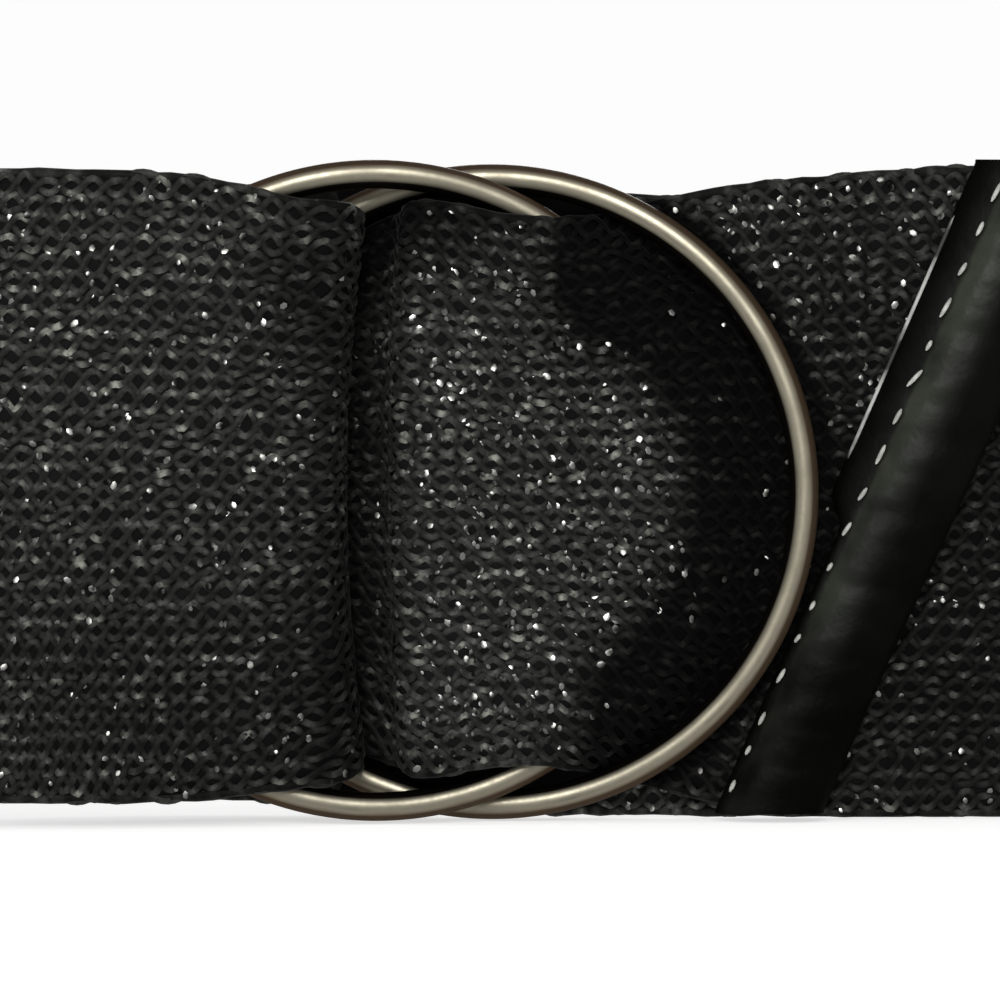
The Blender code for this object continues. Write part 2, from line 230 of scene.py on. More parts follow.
# The stain is browner on the outside of the ring and black on the inside: partly handling, partly painted
# light on the outer flank and painted shade on the inner one.
ring_outside_painted_light = ease(0.5 + 0.9 * np.cos(ROUND_WIRE)) + np.zeros((STEPS_ROUND_RING, 1))
ring_faces = quads(STEPS_ROUND_RING, STEPS_ROUND_WIRE, rows_close=True, columns_close=True)
ring_look = (ring_faces, nickel, "antique_nickel")
ring_shades = {"rubbed_and_highlight": ring_rubbing_and_highlight(), "outside": ring_outside_painted_light}
front_o_ring = add_piece("front_o_ring", ring_points(FRONT_RING, 3.3), *ring_look, **ring_shades)
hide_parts("front_ring")
back_o_ring = add_piece("back_o_ring", ring_points(BACK_RING, 3.0), *ring_look, **ring_shades)
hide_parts("back_ring")


# The ground of the strap: the dense black back of the knitted band, which shows in the holes of its net.
# One end is folded round both rings and sewn down inside. The other goes behind both, folds up through
# them, over the front ring and under the back one, and lies on the belt.
WAIST_HALF_WIDTH = 130.0
FRONT_HALF_FLAT = 36.0
SQUARENESS = 2.2
LINE_POINTS_PER_QUARTER = 600
STRAP_WIDTH = 52.0
STRAP_THICKNESS = 1.0
# From the middle of the wire to the middle of a layer of strap that lies on it.
WRAP = RING_WIRE / 2.0 + STRAP_THICKNESS / 2.0 + 0.4
# The shares of the way between the rings that the tongue stays level on the front and back ring.
HUG_FRONT = 0.2
HUG_BACK = 0.1

# Each layer's rows are along, out, lower edge, upper edge.
RETURN_LAYER = (
    (-63.0, 1.6, 1.0, 52.4),
    (-54.0, 3.6, 1.5, 52.8),
    (-45.0, 3.7, 2.4, 52.8),
    (-37.0, 1.1, 2.6, 52.7),
    (-30.0, -1.7, 2.4, 52.6),
    (-24.0, -2.8, 2.0, 52.8),
    (-10.5, -3.1, 1.2, 53.7),
)
OUTER_LAYER = (
    (-84.0, 0.0, 0.0, 52.0),
    (-72.0, 1.2, 0.5, 52.5),
    (-62.0, 3.3, 1.1, 52.9),
    (-50.0, 6.3, 1.9, 53.4),
    (-38.0, 9.0, 2.3, 53.7),
    (-31.0, 9.1, 2.3, 53.6),
    (-18.0, 7.85, 2.5, 53.0),
    (-10.5, 7.1, 3.4, 51.3),
)
UNDER_LAYER = (
    (-3.0, -1.5, 0.8, 53.4),
    (1.0, -1.2, 0.6, 53.3),
    (7.0, -1.0, 0.5, 53.2),
    (15.0, -0.9, 0.5, 52.5),
    (32.0, -0.8, 0.3, 52.2),
    (48.0, -0.5, 0.3, 52.2),
    (62.0, -0.1, 0.1, 52.1),
    (76.0, 0.0, 0.0, 52.0),
)
# The tongue's edges, each along, lower edge, upper edge.
TONGUE_EDGES = (
    (0.8, 4.2, 51.3),
    (4.0, 4.8, 50.6),
    (7.0, 5.1, 50.1),
    (10.0, 5.0, 50.0),
    (13.5, 4.3, 50.4),
    (18.0, 3.1, 51.5),
    (26.0, 1.4, 53.0),
    (36.0, 0.9, 54.0),
    (58.0, 0.9, 55.0),
)
# Each fold's rows are step, along, out, lower edge, upper edge, and how far its corners shift along.
STRAP_FOLD = (
    (0, -10.5, -3.1, 1.2, 53.7, 0.0),
    (1, -9.6, -3.2, 1.4, 53.6, 1.2),
    (2, -9.2, -1.7, 5.4, 49.4, 0.2),
    (3, -8.3, 0.3, 7.0, 48.1, 0.6),
    (4, -7.5, 3.0, 5.0, 50.2, 1.6),
    (5, -7.9, 5.3, 4.2, 50.9, 1.5),
    (6, -8.9, 6.7, 3.6, 51.2, 0.8),
    (7, -10.5, 7.1, 3.4, 51.3, 0.0),
)
TONGUE_FOLD = (
    (0, -3.0, -1.5, 0.8, 53.4, 0.0),
    (1, -6.6, -1.9, 0.9, 53.5, -1.5),
    (2, -7.2, -1.4, 4.4, 50.2, 0.0),
    (3, -6.9, -0.3, 6.0, 48.9, 0.4),
    (4, -5.6, 0.6, 5.4, 49.6, 0.6),
    (5, -3.9, 1.4, 4.9, 50.3, 0.5),
    (6, -3.0, 3.0, 4.6, 50.7, 0.8),
    (7, -2.8, 4.7, 4.4, 51.0, 0.8),
    (8, -1.6, 5.75, 4.2, 51.2, 0.4),
    (9, 0.8, 6.0, 4.2, 51.3, 0.0),
)
# Dents that the gathers leave: layer, along, height, reach along, reach up, depth.
DENTS = (
    ("outer", -13.0, 42.0, 4.5, 6.0, 0.9),
    ("outer", -19.0, 17.0, 5.0, 5.0, 0.5),
    ("tongue", 11.0, 41.0, 1.3, 8.0, 0.6),
)
GATHERS = 4
GATHER_HEIGHT = 0.45
GATHER_REACH = 16.0
# The line of stitches that holds the binding, as height and along, and where the tongue ends beyond it.
STITCH_LINE = ((0.9, 24.2), (15.0, 30.4), (29.7, 37.0), (55.0, 47.9))
BINDING_SLANT = math.radians(24.0)
TONGUE_END = 6.5
TONGUE_LIFT = 2.45
MEASURED_ROWS = 53
TONGUE_ALONGS = np.linspace(0.8, 58.0, 287)
GROUND_THICKNESS = 0.5
GROUND_ROWS = 34
GROUND_EDGE = 0.006
# Steps along the folded end, the plain loop and the layers at the buckle, and steps up the tongue.
FOLDED_STEP = 0.8
PLAIN_STEP = 4.5
BUCKLE_STEP = 0.7
TONGUE_SECTIONS = 90
GROUND_BLACK = "#1d1d1d"
GROUND_PAINTED_SHADE = "#020202"


def smooth(table, place):
    """A table's other columns at places in its first column, on smooth curves through its rows."""
    rows = np.array(sorted(table))
    keys = rows[:, 0]
    values = rows[:, 1:]
    slopes = np.gradient(values, keys, axis=0)
    place = np.asarray(place, dtype=float)
    index = np.clip(np.searchsorted(keys, place) - 1, 0, len(keys) - 2)
    step = (keys[index + 1] - keys[index])[..., None]
    share = np.clip((place - keys[index])[..., None] / step, 0.0, 1.0)
    found = values[index] + (values[index + 1] - values[index]) * ease(share)
    found = found + slopes[index] * share * (1.0 - share) ** 2 * step
    found = found - slopes[index + 1] * share**2 * (1.0 - share) * step
    return np.moveaxis(found, -1, 0)


def quarter(half_width, half_depth, start):
    """A quarter of a superellipse from the angle start, anticlockwise, as a list of points."""
    angles = start + np.linspace(0.0, math.pi / 2, LINE_POINTS_PER_QUARTER)
    way = np.stack((np.cos(angles), np.sin(angles)), axis=1)
    return np.sign(way) * np.abs(way) ** (2.0 / SQUARENESS) * (half_width, half_depth)


def plain_line():
    """Points of the plain line and their distances along it from the middle of the front."""
    side = WAIST_HALF_WIDTH - FRONT_HALF_FLAT
    middle = np.array(((0.0, -WAIST_HALF_DEPTH),))
    parts = (
        middle,
        quarter(side, WAIST_HALF_DEPTH, -math.pi / 2) + (FRONT_HALF_FLAT, 0.0),
        quarter(WAIST_HALF_WIDTH, WAIST_HALF_DEPTH, 0.0)[1:],
        quarter(WAIST_HALF_WIDTH, WAIST_HALF_DEPTH, math.pi / 2)[1:],
        quarter(side, WAIST_HALF_DEPTH, math.pi)[1:] - (FRONT_HALF_FLAT, 0.0),
        middle,
    )
    points = np.concatenate(parts)
    steps = np.hypot(*np.diff(points, axis=0).T)
    return points, np.concatenate(((0.0,), np.cumsum(steps)))


LINE, LINE_DISTANCE = plain_line()
LOOP_LENGTH = LINE_DISTANCE[-1]


def on_line(along):
    """The plain line's points this far along."""
    along = np.mod(along, LOOP_LENGTH)
    return np.stack([np.interp(along, LINE_DISTANCE, LINE[:, axis]) for axis in (0, 1)], axis=-1)


def in_space(along, out, height):
    """Points of the strap in space, in millimetres."""
    along, out, height = np.broadcast_arrays(along, out, height)
    ahead = on_line(along + 0.5) - on_line(along - 0.5)
    ahead = ahead / np.linalg.norm(ahead, axis=-1, keepdims=True)
    flat = on_line(along) + np.stack((ahead[..., 1], -ahead[..., 0]), axis=-1) * out[..., None]
    return np.stack((flat[..., 0], flat[..., 1] + LINE_SHIFT_BACK, height), axis=-1)


def beyond(ring, along, height):
    """How far outside a ring points are, seen from the front. Inside it is negative."""
    squeeze = 1.0 / math.cos(math.atan(ring["lean"]))
    return np.hypot((along - ring["along"]) * squeeze, height - ring["height"]) - RING_RADIUS


def dent(layer, along, height):
    """How far the dents press a layer in."""
    depth = 0.0
    for name, mid_along, mid_height, reach_along, reach_up, deepest in DENTS:
        if name == layer:
            far = ((along - mid_along) / reach_along) ** 2 + ((height - mid_height) / reach_up) ** 2
            depth = depth + deepest * np.exp(-far)
    return depth


def gather(share, from_fold):
    """How far the gathers lift a layer, by the share of its width and the distance from its fold."""
    wave = 0.5 - 0.5 * np.cos(2.0 * math.pi * GATHERS * share)
    return GATHER_HEIGHT * wave * (1.0 - ease(from_fold / GATHER_REACH))


def ring_out(ring, along):
    """How far out the middle of a ring's plane is."""
    return ring["out"] + ring["lean"] * (along - ring["along"])


def tongue_out(along, height):
    """How far out the tongue lies: on the front ring, then down between the rings, then on the belt."""
    on_front = ring_out(FRONT_RING, along) + WRAP
    under_back = ring_out(BACK_RING, along) - WRAP
    past_front = np.maximum(beyond(FRONT_RING, along, height), 0.0)
    past_back = beyond(BACK_RING, along, height)
    inside = past_back < 0.0
    share = past_front / np.where(inside, past_front - past_back, 1.0)
    dip = ease((share - HUG_FRONT) / (1.0 - HUG_FRONT - HUG_BACK))
    resting = smooth(UNDER_LAYER, along)[0] + TONGUE_LIFT
    outside = under_back + (resting - under_back) * ease(past_back / 5.0)
    return np.where(inside, on_front + (under_back - on_front) * dip, outside) - dent("tongue", along, height)


def layer(table, alongs, shares):
    """A grid of places on a layer: along, out and height."""
    out, low, high = [column[:, None] for column in smooth(table, alongs)]
    return alongs[:, None] + 0.0 * shares, out + 0.0 * shares, low + (high - low) * shares


def outer_layer(alongs, shares):
    """The folded end's outer layer, with its gathers and dents."""
    along, out, height = layer(OUTER_LAYER, alongs, shares)
    out = out + gather(shares, OUTER_LAYER[-1][0] - along) - dent("outer", along, height)
    return along, out, height


def tongue_layer(alongs, shares):
    """The tongue's upper layer."""
    low, high = [column[:, None] for column in smooth(TONGUE_EDGES, alongs)]
    along = alongs[:, None] + 0.0 * shares
    height = low + (high - low) * shares
    lift = gather(shares, along - TONGUE_EDGES[0][0]) * ease(-beyond(FRONT_RING, along, height) / 3.0)
    return along, tongue_out(along, height) + lift, height


def fold(table, end_layer, steps, shares):
    """A fold, which meets the layer that it ends in."""
    along, out, low, high, corner = [column[:, None] for column in smooth(table, steps)]
    lift = end_layer[1][:1] - table[-1][2]
    return (
        along + corner * (2.0 * shares - 1.0) ** 2,
        out + lift * ease(steps[:, None] / table[-1][0]),
        low + (high - low) * shares,
    )


def strap_sheet():
    """The strap's middle surface as a grid, its distances along, its outward directions and its stretches."""
    shares = np.linspace(0.0, 1.0, MEASURED_ROWS)[None, :]
    folded_at, plain_at, under_at = OUTER_LAYER[-1][0], OUTER_LAYER[0][0], UNDER_LAYER[-1][0]
    outer = outer_layer(np.linspace(folded_at, plain_at, 295), shares)
    tongue = tongue_layer(TONGUE_ALONGS, shares)
    plain = np.linspace(plain_at, under_at - LOOP_LENGTH, 577)[:, None] + 0.0 * shares
    stretches = {
        "return": layer(RETURN_LAYER, np.linspace(RETURN_LAYER[0][0], folded_at, 211), shares),
        "strap_fold": fold(STRAP_FOLD, outer, np.linspace(0.0, STRAP_FOLD[-1][0], 113), shares),
        "outer": outer,
        "plain": (plain, 0.0 * plain, STRAP_WIDTH * shares + 0.0 * plain),
        "under": layer(UNDER_LAYER, np.linspace(under_at, UNDER_LAYER[0][0], 317), shares),
        "tongue_fold": fold(TONGUE_FOLD, tongue, np.linspace(0.0, TONGUE_FOLD[-1][0], 145), shares),
        "tongue": tongue,
    }
    grids = [in_space(*stretch) for stretch in stretches.values()]
    points = np.concatenate([grid if first == 0 else grid[1:] for first, grid in enumerate(grids)])
    steps = np.linalg.norm(np.diff(points[:, MEASURED_ROWS // 2], axis=0), axis=1)
    distance = np.concatenate(((0.0,), np.cumsum(steps)))
    outward = np.cross(np.gradient(points, axis=1), np.gradient(points, axis=0))
    outward = outward / np.linalg.norm(outward, axis=-1, keepdims=True)
    starts = np.concatenate(((0,), np.cumsum([len(grid) - 1 for grid in grids])))
    return points, distance, outward, dict(zip([*stretches, "end"], distance[starts]))


STRAP_POINTS, STRAP_DISTANCE, STRAP_OUTWARD, STARTS = strap_sheet()


def along_tongue(along):
    """The distance from the sewn end of places along the tongue, on its middle row."""
    return np.interp(along, TONGUE_ALONGS, STRAP_DISTANCE[-len(TONGUE_ALONGS) :])


def on_strap(distance, share):
    """Points of the strap's middle surface and the ways out of it, by distance from its sewn end."""
    distance, share = np.broadcast_arrays(distance, share)
    section = np.interp(distance, STRAP_DISTANCE, np.arange(len(STRAP_DISTANCE)))
    row = share * (MEASURED_ROWS - 1)
    first = np.clip(section.astype(int), 0, len(STRAP_DISTANCE) - 2)
    low = np.clip(np.floor(row).astype(int), 0, MEASURED_ROWS - 2)
    on, up = (section - first)[..., None], (row - low)[..., None]
    found = []
    for grid in (STRAP_POINTS, STRAP_OUTWARD):
        near = grid[first, low] * (1.0 - up) + grid[first, low + 1] * up
        far = grid[first + 1, low] * (1.0 - up) + grid[first + 1, low + 1] * up
        found.append(near * (1.0 - on) + far * on)
    return found


def tongue_stop(share):
    """The distance from the sewn end at which a row of the tongue ends, under its binding."""
    along = np.full(np.shape(share), 45.0)
    for _ in range(12):
        low, high = smooth(TONGUE_EDGES, along)
        along = smooth(STITCH_LINE, low + (high - low) * share)[0] + TONGUE_END / math.cos(BINDING_SLANT)
    return along_tongue(along)


# Painted shade: places where the strap lies in a hollow, at a fold's turn or beside the rings, drawn almost
# black in its colour: stretch, along, height, reach along, reach up, how much.
PAINTED_SHADE_PLACES = (
    ("outer", -7.0, 27.0, 4.8, 90.0, 0.5),
    ("outer", -11.6, 42.6, 3.4, 6.5, 0.5),
    ("outer", -22.0, 9.0, 24.0, 12.0, 0.5),
    ("tongue", -6.0, 27.0, 3.2, 90.0, 0.75),
    ("tongue", 16.0, 46.0, 8.0, 5.5, 0.7),
    ("tongue", 12.5, 41.0, 3.4, 8.0, 0.4),
    ("tongue", -1.0, 50.5, 9.0, 5.5, 0.9),
    ("tongue", 1.0, 3.4, 9.0, 1.4, 0.8),
    ("tongue", 33.5, 20.0, 2.6, 15.0, 0.9),
    ("tongue", 22.0, 5.0, 9.0, 8.0, 0.85),
    ("tongue", 37.0, 41.0, 13.0, 14.0, 0.6),
    ("under", 44.0, 10.0, 14.0, 14.0, 0.75),
    ("under", 49.0, 28.0, 8.0, 10.0, 0.6),
)


def painted_shade(distance, share):
    """How much painted shade darkens the net, from 0 to 1, also all along the back ring, mostly inside it."""
    place = on_strap(distance, share)[0]
    along, height = place[..., 0], place[..., 2]
    distance = np.broadcast_to(distance, along.shape)
    inside = {
        "outer": distance < STARTS["plain"],
        "under": (distance > STARTS["under"]) & (distance < STARTS["tongue_fold"]),
        "tongue": distance > STARTS["tongue_fold"],
    }
    # The crescent inside the back ring is painted shade, where the tongue dips under the ring.
    past = beyond(BACK_RING, along, height)
    total = ease((past + 13.6) / 6.0) * (1.0 - ease((past - 1.4) / 1.6)) * ease((along - 7.0) / 11.0)
    total = total * inside["tongue"]
    for stretch, mid_along, mid_height, reach_along, reach_up, much in PAINTED_SHADE_PLACES:
        far = ((along - mid_along) / reach_along) ** 2 + ((height - mid_height) / reach_up) ** 2
        total = total + much * np.exp(-far) * inside[stretch]
    return np.clip(total, 0.0, 1.0) * (place[..., 1] < 0.0)


def ground_points():
    """The ground's cross-sections, each once round, where its rows stop, and how far it is out of the painted
    shade.
    """
    shares = np.linspace(GROUND_EDGE, 1.0 - GROUND_EDGE, GROUND_ROWS)
    stops = tongue_stop(shares)
    parts = [
        np.arange(0.0, STARTS["plain"], FOLDED_STEP),
        np.arange(STARTS["plain"], STARTS["under"], PLAIN_STEP),
        np.arange(STARTS["under"], STARTS["tongue"], BUCKLE_STEP),
    ]
    distance = np.concatenate(parts)[:, None] + 0.0 * shares
    part = np.linspace(0.0, 1.0, TONGUE_SECTIONS)[:, None]
    distance = np.concatenate((distance, STARTS["tongue"] + (stops - STARTS["tongue"]) * part))
    middle, outward = on_strap(distance, shares)
    half = GROUND_THICKNESS / 2.0
    points = np.concatenate((middle + outward * half, (middle - outward * half)[:, ::-1]), axis=1)
    free = 1.0 - painted_shade(distance, shares)
    return points, stops, np.concatenate((free, free[:, ::-1]), axis=1)


# Warp-knitted polyester, dyed black in the yarn: dull, almost without shine, a little uneven in its dye.
ground_knit = new_material("black_polyester_warp_knit", Roughness=0.85, IOR=1.5, Specular_IOR_Level=0.15)
# The dye's uneven tone, darkened to almost black where painted shade lies.
dye_and_painted_shade = add_product(ground_knit, add_noise(ground_knit, 140.0, 3.0), add_share(ground_knit, "free"))
link_shader(
    ground_knit,
    Base_Color=add_mix(ground_knit, dye_and_painted_shade, GROUND_PAINTED_SHADE, GROUND_BLACK),
    # The ground's own stitches are 0.3 mm, and are drawn at 0.6 mm.
    Normal=add_bump(ground_knit, 0.5, 0.0001, add_noise(ground_knit, 1700.0, 1.0)),
)

ground_grid, ground_stops, ground_free = ground_points()
sections, girth = ground_grid.shape[:2]
ground_faces = quads(sections, girth, columns_close=True)
# Both ends are closed with a row of faces across the thickness.
side = np.arange(girth // 2 - 1)
cap = np.stack((side, girth - 1 - side, girth - 2 - side, side + 1), axis=-1)
ground_faces = np.concatenate((ground_faces, cap, cap[:, ::-1] + (sections - 1) * girth))
strap_ground = add_piece(
    "strap_ground", ground_grid, ground_faces, ground_knit, "knitted_net", free=ground_free
)
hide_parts("strap")


# The net on both faces of the strap: soft textured yarn in courses of round eyes, each pair of yarns
# crossing between two eyes. A course's eyes lie between those of the next, as the needles make them.
EYE_PITCH = 1.83
COURSES = 32
COURSE_MARGIN = 1.15
EYE_HALF_HEIGHT = 0.74
YARN_RADIUS = 0.3
YARN_HEIGHT = 0.25
CROSSING_LIFT = 0.09
NET_LIFT = 0.28
# Pulled to the rings, the columns of eyes lean over in the lower part of the folded end.
LEAN_OF_COLUMNS = math.tan(math.radians(24.0))
LEAN_BELOW = 27.0
# How much the knit is uneven, as spreads in millimetres: whole courses, the band, strays and lifts of yarns.
COURSE_DRIFT = 0.28
BAND_SWAY = 0.10
YARN_STRAY = 0.12
YARN_LIFTS = 0.03
# The size of the eyes differs by this share.
EYE_SLACK = 0.22
NAP_LEAST = 0.045
NAP_ON_ROUNDS = 0.05
NAP_BLOOM = 0.22
YARN_SHADE = "#070707"
YARN_PALE = "#94968c"


def wander(dice, rows, count, every, size):
    """Slow drift along each row: a new value every so many places, with straight lines between."""
    knots = dice.normal(0.0, size, (rows, count // every + 3))
    places = np.arange(count) / every
    knot = places.astype(int)
    part = places - knot
    return knots[:, knot] * (1.0 - part) + knots[:, knot + 1] * part


def lean_of_columns(distance, height):
    """How far the columns of eyes are shifted along by the pull of the rings."""
    from_fold = distance - STARTS["outer"]
    reach = 1.0 - ease((from_fold - 8.0) / 26.0)
    down = np.minimum(height - LEAN_BELOW, 0.0)
    return LEAN_OF_COLUMNS * down * reach * (distance < STARTS["plain"])


def yarn_lines(start, end, steps_per_eye, seed):
    """The yarns' distances, shares and lifts, two yarns to a course, and how much nap they have."""
    dice = np.random.default_rng(seed)
    distance = np.arange(start, end, EYE_PITCH / steps_per_eye)
    count = len(distance)
    half_eye = max(steps_per_eye // 2, 1)
    course = np.arange(COURSES)[:, None]
    height = COURSE_MARGIN + course * (STRAP_WIDTH - 2.0 * COURSE_MARGIN) / (COURSES - 1)
    drift = wander(dice, COURSES, count, 5 * steps_per_eye, COURSE_DRIFT)
    sway = wander(dice, 1, count, 9 * steps_per_eye, BAND_SWAY) * np.sin(math.pi * height / STRAP_WIDTH)
    turn = math.pi * (distance + lean_of_columns(distance, height) + drift) / EYE_PITCH
    turn = turn + math.pi / 2.0 * (course % 2)
    shares, lifts, naps = [], [], []
    for hand in (1.0, -1.0):
        slack = 1.0 + wander(dice, COURSES, count, steps_per_eye, EYE_SLACK)
        across = hand * EYE_HALF_HEIGHT * np.cos(turn) * slack
        across = across + wander(dice, COURSES, count, half_eye, YARN_STRAY)
        shares.append((height + sway + across) / STRAP_WIDTH)
        crossing = NET_LIFT + hand * CROSSING_LIFT * np.sin(turn)
        lifts.append(crossing + wander(dice, COURSES, count, steps_per_eye, YARN_LIFTS))
        bloom = NAP_BLOOM * wander(dice, COURSES, count, half_eye, 1.0) ** 2
        naps.append(NAP_LEAST + np.cos(turn) ** 4 * (NAP_ON_ROUNDS + bloom))
    return distance, np.concatenate(shares), np.concatenate(lifts), np.concatenate(naps)


def along_lines(points):
    """Directions along lines of points."""
    ahead = np.gradient(points, axis=1)
    return ahead / np.linalg.norm(ahead, axis=-1, keepdims=True)


def line_faces(points, columns_close=True):
    """The faces of a grid of points for each of many lines."""
    lines, steps, sides = points.shape[:3]
    faces = quads(steps, sides, columns_close=columns_close)[None]
    return (faces + (np.arange(lines) * steps * sides)[:, None, None]).reshape(-1, 4)


def laid_yarn(distance, share, lift, face, arch):
    """Round-backed yarn laid on one face of the strap, as a grid of points for each line."""
    middle, outward = on_strap(distance, share)
    outward = outward * face
    middle = middle + outward * lift[..., None]
    across = np.cross(outward, along_lines(middle))
    across = across[..., None, :] * (np.sin(arch) * YARN_RADIUS)[:, None]
    return middle[..., None, :] + across + outward[..., None, :] * (np.cos(arch) * YARN_HEIGHT)[:, None]


def add_net(name, start, end, face, steps_per_eye, arch, seed):
    """One stretch of the net on one face of the strap. The tongue's stretch ends under its binding."""
    distance, share, lift, nap = yarn_lines(start, end, steps_per_eye, seed)
    points = laid_yarn(distance, share, lift, face, arch)
    # Painted shade: the nap falls to almost nothing in the shaded places, so the yarn is drawn almost black
    # there.
    nap = np.clip(nap, 0.0, 1.0) * (1.0 - 0.95 * painted_shade(distance, share))
    nap = np.repeat(nap[..., None], len(arch), axis=-1)
    lines, count, girth = points.shape[:3]
    faces = line_faces(points, columns_close=False).reshape(lines, count - 1, girth - 1, 4)
    if face < 0:
        faces = faces[..., ::-1]
    stops = tongue_stop(np.clip(share[:, 0], 0.0, 1.0)) - 0.5
    faces = faces[distance[None, 1:] < stops[:, None]].reshape(-1, 4)
    used, faces = np.unique(faces, return_inverse=True)
    points = points.reshape(-1, 3)[used]
    return add_piece(name, points, faces.reshape(-1, 4), yarn, "knitted_net", nap=nap.ravel()[used])


# Air-textured polyester yarn, dyed charcoal: soft and matt, with a faint pale bloom of fine filaments where
# it turns away from the eye.
yarn = new_material(
    "charcoal_textured_polyester_yarn", Roughness=0.62, IOR=1.5, Sheen_Weight=0.05, Sheen_Roughness=0.4
)
# The nap stands on the round of each eye, more on one than on the next, and makes the pale grains of the
# knit. Slubs, where the yarn is looser, vary it every half millimetre or so.
# The nap share also carries painted shade, which takes it down to almost nothing in the shaded places.
nap = add_share(yarn, "nap")
slubs = add_noise(yarn, 1600.0, 2.0, Roughness=0.6)
paleness_and_painted_shade = add_product(yarn, nap, add_range(yarn, slubs, 0.35, 0.68, 0.4, 1.6))
link_shader(
    yarn,
    Base_Color=add_mix(yarn, paleness_and_painted_shade, YARN_SHADE, YARN_PALE),
    # Where the painted shade lies, the shine is cut down too.
    Specular_IOR_Level=add_range(yarn, nap, 0.0, 0.06, 0.03, 0.3),
    # Filaments are 0.02 mm thick, and are drawn at 0.15 mm, as coarse as the render needs.
    Normal=add_bump(yarn, 0.6, 0.00006, add_noise(yarn, 6500.0, 2.0)),
)

ROUND_ARCH = np.radians((-82.0, -27.0, 27.0, 82.0))
PLAIN_ARCH = np.radians((-78.0, 0.0, 78.0))
# Where the stretches meet, as distances from the sewn end. At the back one runs a little into the next.
folded = STARTS["strap_fold"] + 3.0
seen_outer = STARTS["outer"] + 36.0
past_sewn_end = STARTS["outer"] + 48.0
back_middle = STARTS["plain"] + 270.0
back_overlap = back_middle + 0.7
seen_under = STARTS["under"] + 20.0
under_tongue = STARTS["under"] + 62.0
tongue_foot = STARTS["tongue_fold"] + 1.0
tongue_root = STARTS["tongue_fold"] + 5.0
# A face is 1 outside and -1 inside. A net that is only seen from afar has fewer steps to an eye.
nets = [
    add_net("net_folded_end", folded, seen_outer, 1, 6, ROUND_ARCH, 11),
    add_net("net_tongue", tongue_root, STARTS["end"], -1, 6, ROUND_ARCH, 12),
    add_net("net_beside_tongue", seen_under, under_tongue, 1, 6, ROUND_ARCH, 13),
    add_net("net_left_outside", seen_outer, back_overlap, 1, 3, PLAIN_ARCH, 14),
    add_net("net_right_outside", back_middle, seen_under, 1, 3, PLAIN_ARCH, 15),
    add_net("net_left_inside", past_sewn_end, back_overlap, -1, 2, PLAIN_ARCH, 16),
    add_net("net_right_inside", back_middle, tongue_foot, -1, 2, PLAIN_ARCH, 17),
    add_net("net_sewn_end", 0.4, folded, 1, 2, PLAIN_ARCH, 18),
]


# The metallic thread in the net: slit polyester film with a layer of aluminium, plied with the yarn. It
# comes to the surface in short flat pieces, more of them on the strap's inner face, which the tongue shows.
FILM_LENGTH = 0.66
FILM_WIDTH = 0.48
FILM_RISE = 0.06
FILM_SIZES = (0.55, 1.2)
# Spreads of the angles that a piece is turned by in the cloth's plane and tilted out of it.
FILM_TURN = 0.6
FILM_TILT = 0.22
FILM_SILVER = "#efeee8"
FILM_DUSKY = "#2a2a27"


def add_film(name, start, end, face, share_of_places, seed):
    """Short pieces of film over one stretch of the net, at random places on its yarns."""
    dice = np.random.default_rng(seed)
    distance, share, lift, _ = yarn_lines(start, end, 2, seed)
    stops = tongue_stop(np.clip(share[:, 0], 0.0, 1.0)) - 1.0
    # Fewer pieces where painted shade lies, so the shaded places barely glint.
    chosen = dice.random(share.shape) < share_of_places * (1.0 - 0.95 * painted_shade(distance, share))
    chosen = chosen & (distance[None] < stops[:, None])
    line, spot = np.nonzero(chosen)
    count = len(line)
    distance = distance[spot] + dice.uniform(-0.4, 0.4, count)
    share = share[line, spot]
    middle, outward = on_strap(distance, share)
    ahead = on_strap(distance + 0.2, share)[0] - middle
    outward = outward * face
    turn = dice.normal(math.pi / 2.0, FILM_TURN, count)[:, None]
    tilt = dice.normal(0.0, FILM_TILT, count)[:, None]
    pitch = dice.normal(0.0, FILM_TILT, count)[:, None]
    ahead = ahead / np.linalg.norm(ahead, axis=-1, keepdims=True)
    across = np.cross(outward, ahead)
    lengthways = ahead * np.cos(turn) + across * np.sin(turn)
    widthways = np.cross(outward, lengthways)
    widthways = widthways * np.cos(tilt) + outward * np.sin(tilt)
    lengthways = lengthways * np.cos(pitch) + outward * np.sin(pitch)
    size = dice.uniform(*FILM_SIZES, count)[:, None]
    middle = middle + outward * (lift[line, spot] + YARN_HEIGHT - 0.05)[:, None]
    corners = [middle + outward * FILM_RISE * size]
    for angle in np.arange(6) * math.pi / 3.0:
        corner = lengthways * math.cos(angle) * FILM_LENGTH + widthways * math.sin(angle) * FILM_WIDTH
        corners.append(middle + corner / 2.0 * size)
    rim = np.arange(6)
    faces = np.stack((0 * rim, 1 + rim, 1 + (rim + 1) % 6), axis=-1)
    faces = faces[None] + (np.arange(count) * len(corners))[:, None, None]
    return add_piece(name, np.stack(corners, axis=1), faces, film, "knitted_net")


# Aluminised film under a clear lacquer, slit narrow: it mirrors in places and is dusky where it is twisted
# or worn, so some pieces flash white and most only gleam.
film = new_material("aluminised_polyester_film", Metallic=1.0)
worn = add_noise(film, 900.0, 1.0)
bright = add_range(film, worn, 0.35, 0.66, interpolation_type="SMOOTHSTEP")
link_shader(
    film,
    Base_Color=add_mix(film, bright, FILM_DUSKY, FILM_SILVER),
    Roughness=add_range(film, worn, 0.3, 0.7, 0.5, 0.3),
)

